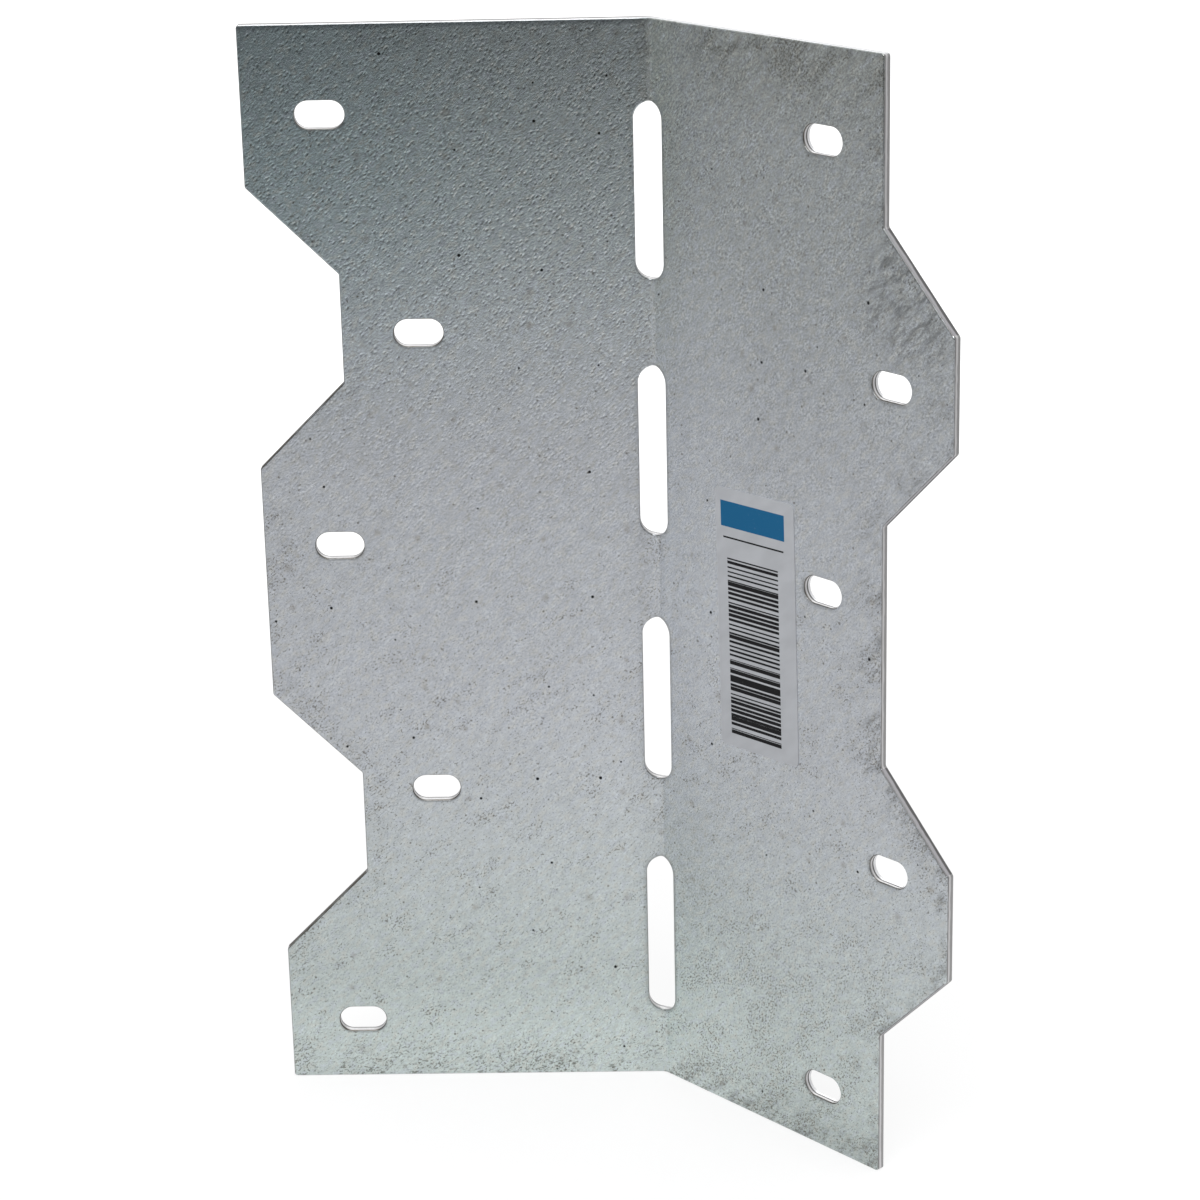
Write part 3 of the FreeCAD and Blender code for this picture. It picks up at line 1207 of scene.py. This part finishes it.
@dataclass(frozen=True)
class LabelFinish:
    """Smooth clear-backed film with a plain blue field, a rule and a made-up run of bars.

    Colours are linear, and sizes are in millimetres from the label's lower left corner.
    """

    width: float
    height: float
    film: Colour = (0.498, 0.512, 0.540, 1.0)
    blue: Colour = (0.010, 0.122, 0.270, 1.0)
    black: Colour = (0.009, 0.009, 0.010, 1.0)
    field_across: Pair = (1.0, 13.6)
    field_up: Pair = (33.2, 37.0)
    rule_across: Pair = (1.4, 13.4)
    rule_up: Pair = (31.5, 31.75)
    bars_across: Pair = (2.1, 12.2)
    bars_up: Pair = (2.0, 28.6)
    bar_pitch: float = 0.66
    bar_widths: Pair = (0.20, 1.05)     # least and most, as shares of the pitch
    wear: Cloud = Cloud((0.5, 0.3, 1.0), 2.0, turn=36.0)
    wear_edge: Step = Step(0.22, 0.34, 0.85, 1.0)
    haze: Cloud = Cloud((6.0, 2.6, 1.0), 2.0, turn=36.0)
    haze_swing: Step = Step(0.3, 0.7, 0.94, 1.04)
    roughness: float = 0.45
    specular: float = 0.16

    def block(self, bench: NodeBench, place: Socket, across: Pair, up: Pair) -> Socket:
        """1 in a printed rectangle and 0 outside."""
        inside_across = bench.inside(bench.dot(place, X_AXIS), *across)
        return bench.times(inside_across, bench.inside(bench.dot(place, Y_AXIS), *up))

    def bars(self, bench: NodeBench, place: Socket) -> Socket:
        """Prints bars of random width, one in each step of the pitch. The widest join the next.

        Args:
            bench: The material's bench.
            place: Where a point lies on the label.

        Returns:
            1 in a bar and 0 outside.
        """
        step = bench.math("DIVIDE", bench.dot(place, Y_AXIS), self.bar_pitch)
        draw = bench.add("ShaderNodeTexWhiteNoise", {"W": bench.math("FLOOR", step)}, noise_dimensions="1D")
        width = bench.between(draw.outputs["Value"], *self.bar_widths)
        bar = bench.math("LESS_THAN", bench.math("FRACT", step), width)
        return bench.times(bar, self.block(bench, place, self.bars_across, self.bars_up))

    def material(self) -> bpy.types.Material:
        """Builds the finish.

        Returns:
            The material.
        """
        material, bench = new_material("label_film")
        share = bench.add("ShaderNodeUVMap", {}, uv_map=Label.UV_NAME).outputs[0]
        place = bench.vector("MULTIPLY", share, (self.width, self.height, 1.0))
        field = self.block(bench, place, self.field_across, self.field_up)
        rule = self.block(bench, place, self.rule_across, self.rule_up)
        ink = bench.most(self.bars(bench, place), rule)
        worn = bench.ramp(bench.cloud(place, self.wear), *self.wear_edge)
        haze = bench.ramp(bench.cloud(place, self.haze), *self.haze_swing)
        colour = bench.paint(1.0, self.film, bench.grey(haze), Blend.SHADE)
        colour = bench.paint(bench.times(worn, field), colour, self.blue)
        colour = bench.paint(bench.times(worn, ink), colour, self.black)
        feeds = {"Base Color": colour, "Roughness": self.roughness, "Specular IOR Level": self.specular}
        surface = bench.add("ShaderNodeBsdfPrincipled", feeds)
        bench.add("ShaderNodeOutputMaterial", {"Surface": surface.outputs[0]})
        return material


@dataclass(frozen=True)
class FloorFinish:
    """Pale floor that shows white to the camera and in the metal, and keeps the object's shadow.

    Sizes are in metres. The pool is a painted pool of light: a glow on the part of the floor that the metal
    mirrors, which only glossy rays see.
    """

    albedo: Colour = (0.25, 0.25, 0.25, 1.0)
    glow: Step = Step(0.10, 0.50, 0.72, 1.0)
    pool_middle: Triple = (0.05, -0.05, 0.0)
    pool_near: Step = Step(0.0, 0.20, 0.51, 0.34)
    pool_far: Step = Step(0.24, 0.46, 1.0, 0.58)

    def material(self) -> bpy.types.Material:
        """Builds the finish.

        Returns:
            The material.
        """
        material, bench = new_material("pale_floor")
        place = bench.add("ShaderNodeTexCoord", {}).outputs["Object"]
        glow = bench.ramp(bench.measure("LENGTH", place), *self.glow)
        seen = bench.times(glow, bench.rays(Ray.CAMERA, Ray.TRANSMISSION))
        # Painted pool of light round the part, which only the metal's reflections see
        away = bench.measure("DISTANCE", place, self.pool_middle)
        pool = bench.times(bench.ramp(away, *self.pool_near), bench.ramp(away, *self.pool_far))
        mirrored = bench.times(pool, bench.rays(Ray.GLOSSY))
        lit = bench.add("ShaderNodeBsdfDiffuse", {"Color": self.albedo})
        own = bench.add("ShaderNodeEmission", {"Strength": bench.most(seen, mirrored)})
        both = bench.add("ShaderNodeAddShader", {0: lit.outputs[0], 1: own.outputs[0]})
        bench.add("ShaderNodeOutputMaterial", {"Surface": both.outputs[0]})
        return material


@dataclass
class AngleSheet:
    """The folded sheet itself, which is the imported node."""

    sheet: FoldedSheet

    def dress(self) -> bpy.types.Object:
        """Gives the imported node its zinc.

        Returns:
            The node's object.
        """
        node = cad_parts["angle"]
        finish = ZincFinish(self.sheet).material()
        for slot in node.material_slots:
            slot.material = finish
        return node


@dataclass
class Label:
    """Thin film stuck to the right leg, in millimetres and degrees."""

    UV_NAME: ClassVar[str] = "label"

    sheet: FoldedSheet
    width: float = 15.5
    height: float = 38.9
    across: float = 20.6
    up: float = 77.7
    tilt: float = 1.3
    thickness: float = 0.08
    corner: float = 0.8
    corner_steps: int = 5

    def build(self) -> bpy.types.Object:
        """Models the film flat, with round corners, and lays it on the leg.

        Returns:
            The new object.
        """
        shape = rectangle(self.width * MM, self.height * MM)
        bmesh.ops.bevel(
            shape,
            geom=shape.verts[:],
            affect="VERTICES",
            offset=self.corner * MM,
            segments=self.corner_steps,
            profile=0.5,
            material=-1,
        )
        raised = bmesh.ops.extrude_face_region(shape, geom=shape.faces[:])["geom"]
        top = [part for part in raised if isinstance(part, bmesh.types.BMVert)]
        bmesh.ops.translate(shape, vec=Z_AXIS * self.thickness * MM, verts=top)
        bmesh.ops.recalc_face_normals(shape, faces=shape.faces)
        self.unwrap(shape)
        tilt = Matrix.Rotation(math.radians(self.tilt), 4, "Z")
        laid = self.sheet.leg_frame(Side.RIGHT, self.across, self.up) @ tilt
        bmesh.ops.transform(shape, matrix=laid, verts=shape.verts)
        return new_object("label_film", shape)

    def unwrap(self, shape: bmesh.types.BMesh) -> None:
        """Gives the flat film a UV map that runs from 0 to 1 across and up.

        Args:
            shape: The film, about the origin.
        """
        layer = shape.loops.layers.uv.new(self.UV_NAME)
        for face in shape.faces:
            for loop in face.loops:
                place = loop.vert.co / MM
                loop[layer].uv = (place.x / self.width + 0.5, place.y / self.height + 0.5)

    def dress(self, film: bpy.types.Object) -> None:
        """Prints the film and fixes it to the sheet.

        Args:
            film: The film's object.
        """
        film.data.materials.append(LabelFinish(self.width, self.height).material())
        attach(film, BODY)


@dataclass
class Floor:
    """Pale table top under the part, in metres. Its front and left ends lie outside the picture."""

    left: float = -0.60
    right: float = 1.60
    front: float = -0.60
    back: float = 2.60

    def build(self) -> bpy.types.Object:
        """Models the top at the height of the part's lower end.

        Returns:
            The new object.
        """
        shape = rectangle(self.right - self.left, self.back - self.front)
        middle = ((self.left + self.right) / 2, (self.front + self.back) / 2, CAD_BOX[0].z)
        bmesh.ops.translate(shape, vec=middle, verts=shape.verts)
        return new_object("floor", shape)

    def dress(self, top: bpy.types.Object) -> None:
        """Finishes the top.

        Args:
            top: The floor's object.
        """
        top.data.materials.append(FloorFinish().material())


@dataclass(frozen=True)
class Lamp:
    """One square soft lamp, in metres and watts, that looks at the middle of the part."""

    name: str
    place: Triple
    size: float
    power: float

    def build(self, target: Vector) -> bpy.types.Object:
        """Hangs the lamp.

        Args:
            target: What the lamp looks at.

        Returns:
            The lamp's object.
        """
        light = bpy.data.lights.new(self.name, "AREA")
        light.size = self.size
        light.energy = self.power
        lamp = link(bpy.data.objects.new(self.name, light))
        lamp.location = self.place
        lamp.rotation_euler = (target - lamp.location).to_track_quat("-Z", "Y").to_euler()
        return lamp


@dataclass
class Studio:
    """Soft lamps and a pale surround, which the metal mirrors bright at the back and dim in front.

    Steps of what is mirrored run along a direction, from -1 on the opposite side to 1 on the named one.
    """

    lamps: tuple[Lamp, ...] = (
        Lamp("key_lamp", (-0.12, -0.50, 1.00), 0.7, 6.0),
        Lamp("fill_lamp", (0.85, -0.35, 0.60), 1.3, 2.2),
        Lamp("back_lamp", (0.10, 0.90, 0.90), 0.8, 2.8),
    )
    tint: Colour = (1.0, 1.0, 1.0, 1.0)
    soft_level: float = 0.84
    white_level: float = 1.0
    left_mirrored: Step = Step(0.3, 1.0, 0.0, 0.072)
    top_mirrored: Step = Step(0.2, 0.9, 0.0, 0.104)
    back_mirrored: Step = Step(-0.7, 0.6, 0.060, 0.60)

    def build(self) -> None:
        """Hangs the lamps and lights the surround."""
        low, high = CAD_BOX
        for lamp in self.lamps:
            lamp.build((low + high) / 2)
        world = bpy.data.worlds.new("studio")
        world.use_nodes = True
        bpy.context.scene.world = world
        bench = NodeBench(world.node_tree)
        way = bench.add("ShaderNodeTexCoord", {}).outputs["Generated"]
        sides = ((-X_AXIS, self.left_mirrored), (Z_AXIS, self.top_mirrored), (Y_AXIS, self.back_mirrored))
        mirrored = bench.total(*(bench.ramp(bench.dot(way, side), *step) for side, step in sides))
        level = bench.between(bench.rays(Ray.GLOSSY), self.soft_level, mirrored)
        level = bench.between(bench.rays(Ray.CAMERA, Ray.TRANSMISSION), level, self.white_level)
        surround = bench.add("ShaderNodeBackground", {"Color": self.tint, "Strength": level})
        bench.add("ShaderNodeOutputWorld", {"Surface": surround.outputs[0]})


@dataclass(frozen=True)
class Viewpoint:
    """The photograph's camera, in metres, degrees and millimetres of lens."""

    place: Triple = (0.011522, -0.446308, 0.237768)
    turn: Triple = (70.9662, 1.2425, 0.9822)
    lens: float = 101.086
    sensor: float = 36.0
    clip: Pair = (0.01, 20.0)

    def build(self) -> bpy.types.Object:
        """Sets up the camera.

        Returns:
            The camera's object.
        """
        data = bpy.data.cameras.new("camera")
        data.lens = self.lens
        data.sensor_width = self.sensor
        data.clip_start, data.clip_end = self.clip
        camera = link(bpy.data.objects.new("camera", data))
        camera.location = self.place
        camera.rotation_euler = tuple(math.radians(angle) for angle in self.turn)
        bpy.context.scene.camera = camera
        return camera


def new_material(name: str) -> tuple[bpy.types.Material, NodeBench]:
    """Starts a material.

    Args:
        name: The material's name.

    Returns:
        The material without nodes, and the bench for them.
    """
    material = bpy.data.materials.new(name)
    material.use_nodes = True
    return material, NodeBench(material.node_tree)


def rectangle(width: float, depth: float) -> bmesh.types.BMesh:
    """Models a flat rectangle about the origin.

    Args:
        width: Size along X, in metres.
        depth: Size along Y, in metres.

    Returns:
        The new shape, of one face.
    """
    shape = bmesh.new()
    bmesh.ops.create_grid(shape, x_segments=1, y_segments=1, size=0.5)
    bmesh.ops.scale(shape, vec=(width, depth, 1.0), verts=shape.verts)
    return shape


def new_object(name: str, shape: bmesh.types.BMesh) -> bpy.types.Object:
    """Makes an object of a finished shape.

    Args:
        name: The object's name.
        shape: The shape, which is freed.

    Returns:
        The object, in the scene.
    """
    mesh = bpy.data.meshes.new(name)
    shape.to_mesh(mesh)
    shape.free()
    return link(bpy.data.objects.new(name, mesh))


def link(thing: bpy.types.Object) -> bpy.types.Object:
    """Puts an object into the scene and gives it back."""
    bpy.context.scene.collection.objects.link(thing)
    return thing


def main() -> None:
    """Builds and dresses each piece in order."""
    logging.basicConfig(level=logging.INFO, format="%(name)s: %(message)s")
    bpy.context.scene.view_settings.view_transform = "Standard"
    sheet = FoldedSheet()
    node = AngleSheet(sheet).dress()
    log.info("dressed %s", node.name)
    label = Label(sheet)
    film = label.build()
    label.dress(film)
    log.info("made %s on the %s leg", film.name, Side.RIGHT.value)
    floor = Floor()
    top = floor.build()
    floor.dress(top)
    log.info("laid %s", top.name)
    Studio().build()
    camera = Viewpoint().build()
    log.info("lit the studio and set up %s", camera.name)


if __name__ == "__main__":
    main()
